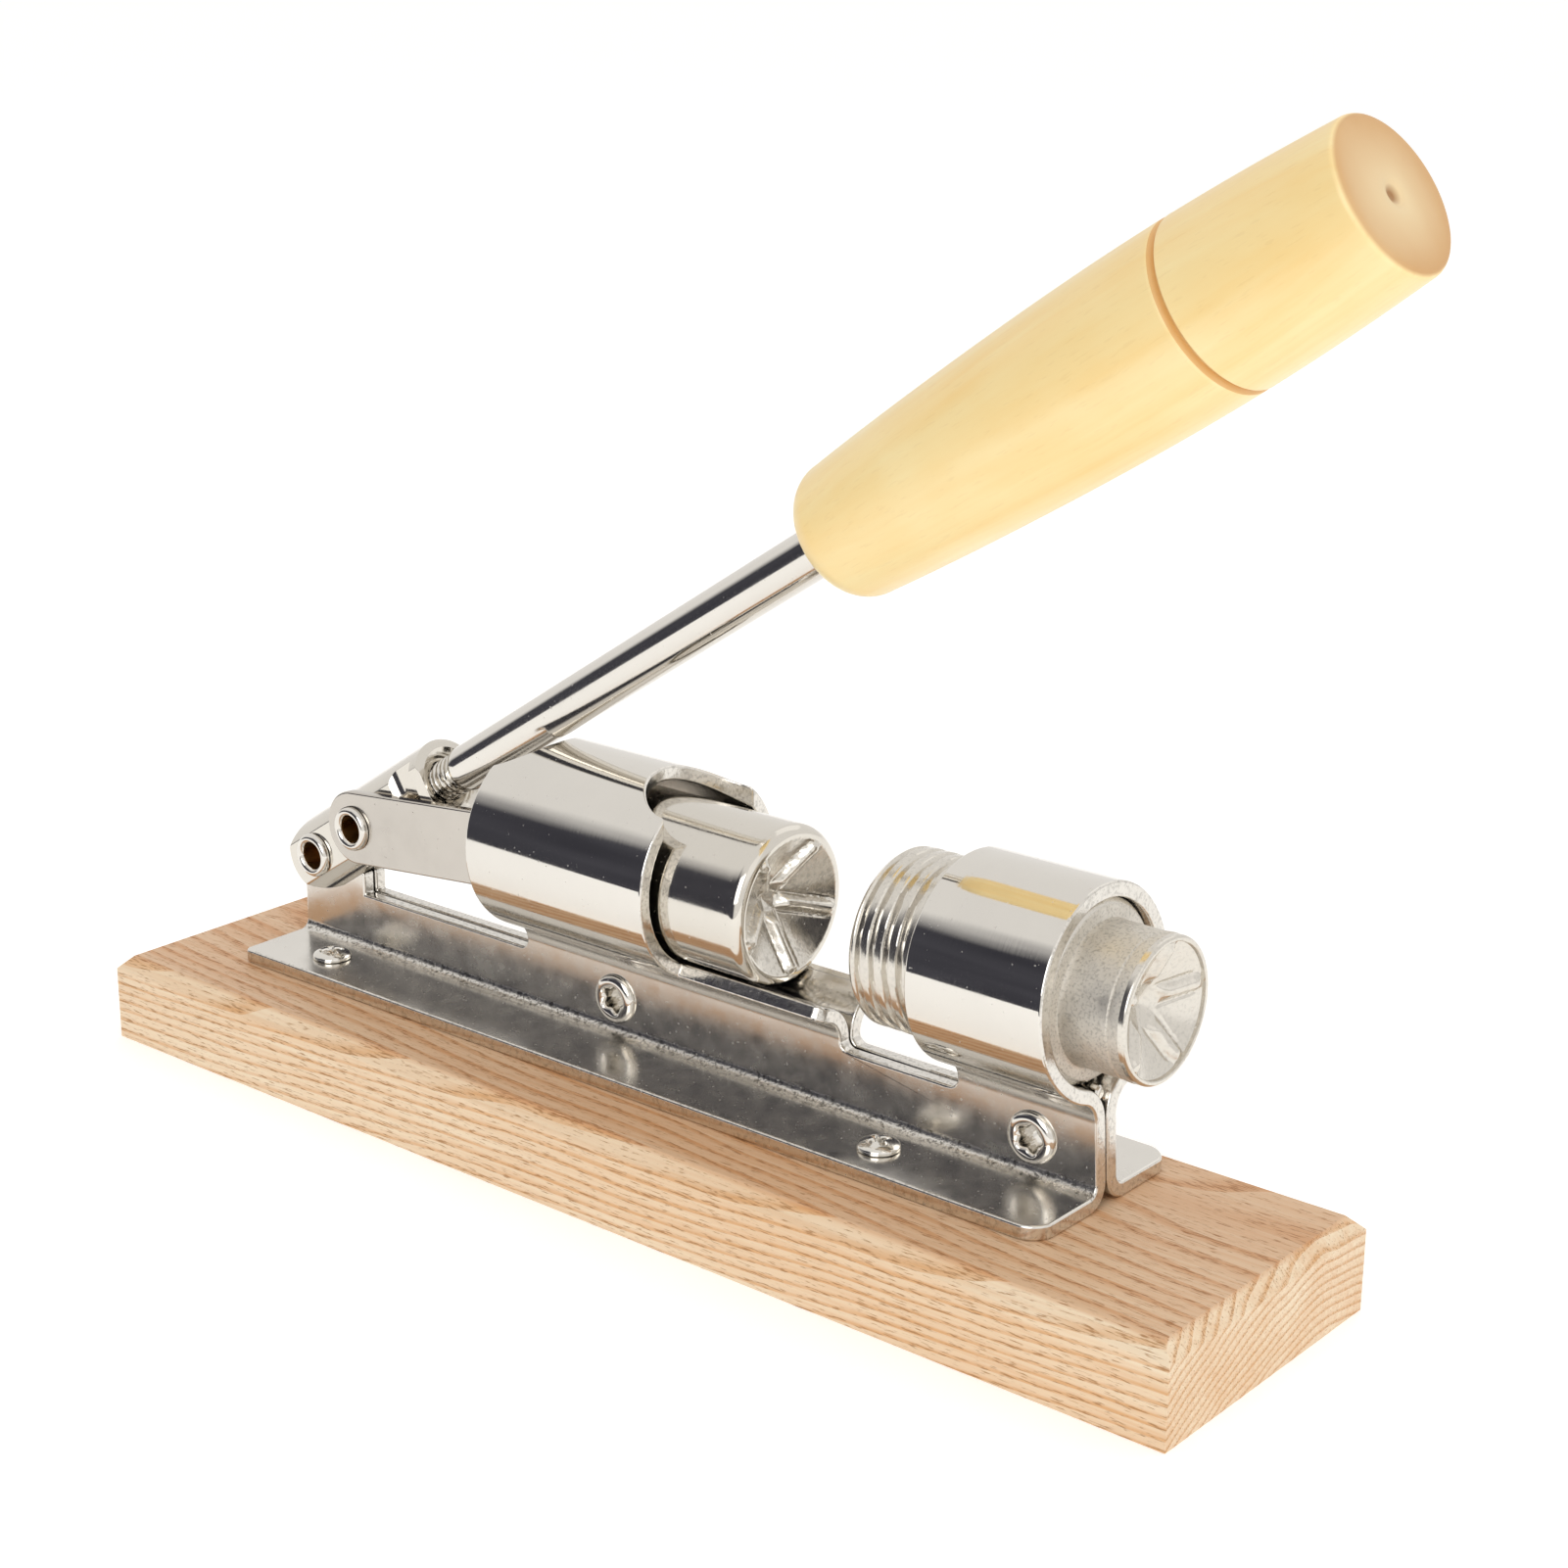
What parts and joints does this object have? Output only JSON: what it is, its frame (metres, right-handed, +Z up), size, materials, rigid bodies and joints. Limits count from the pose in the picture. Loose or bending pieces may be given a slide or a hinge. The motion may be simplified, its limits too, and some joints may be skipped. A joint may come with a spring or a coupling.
{
  "type": "desktop lever nutcracker",
  "caption": "Lever nutcracker on a wooden board: a folded steel frame with two barrels, a ram pushed by a lever and links, and a screwed anvil.",
  "frame": {"origin": "centre of the underside of the wooden board", "axes": "+X along the board towards the anvil, +Y to the far side, +Z up"},
  "size_m": [0.2409, 0.055, 0.1796],
  "materials": {
    "board_wood": "satin",
    "handle_wood": "gloss",
    "plated_sheet": "gloss",
    "lever_metal": "gloss",
    "link_metal": "satin",
    "rivet_metal": "gloss",
    "screw_metal": "gloss",
    "ram_metal": "satin",
    "anvil_metal": "satin"
  },
  "bodies": {
    "stand": {"base_board": "board_wood", "frame": "plated_sheet", "screw_rear_near": "screw_metal", "screw_rear_far": "screw_metal", "screw_front_near": "screw_metal", "screw_front_far": "screw_metal", "web_rivet_rear": "rivet_metal", "web_rivet_front": "rivet_metal", "neck_rod": "rivet_metal", "pivot_rivet": "rivet_metal"},
    "lever": {"yoke": "lever_metal", "lever_rod": "lever_metal", "handle": "handle_wood", "link_rivet": "rivet_metal"},
    "links": {"link_near": "link_metal", "link_far": "link_metal", "ram_pin": "rivet_metal"},
    "ram": {"ram": "ram_metal"},
    "anvil": {"anvil": "anvil_metal"}
  },
  "joints": [
    {"name": "lever_hinge", "type": "hinge", "parent": "stand", "child": "lever", "pos_m": [-0.0875, 0.0045, 0.0354], "axis": [0, -1, 0], "range_deg": [0, 90]},
    {"name": "link_hinge", "type": "hinge", "parent": "lever", "child": "links", "pos_m": [-0.07433, 0.0045, 0.04395], "axis": [0, -1, 0], "range_deg": [-98.5, 0]},
    {"name": "ram_slide", "type": "slide", "parent": "stand", "child": "ram", "axis": [1, 0, 0], "range_m": [-0.0216, 0]},
    {"name": "anvil_slide", "type": "slide", "parent": "stand", "child": "anvil", "axis": [1, 0, 0], "range_m": [-0.012, 0.008]}
  ],
  "couplings": [
    {"joint": "link_hinge", "follows": "lever_hinge", "ratio": -1.0906},
    {"joint": "ram_slide", "follows": "lever_hinge", "m_per_rad": -0.01369}
  ]
}
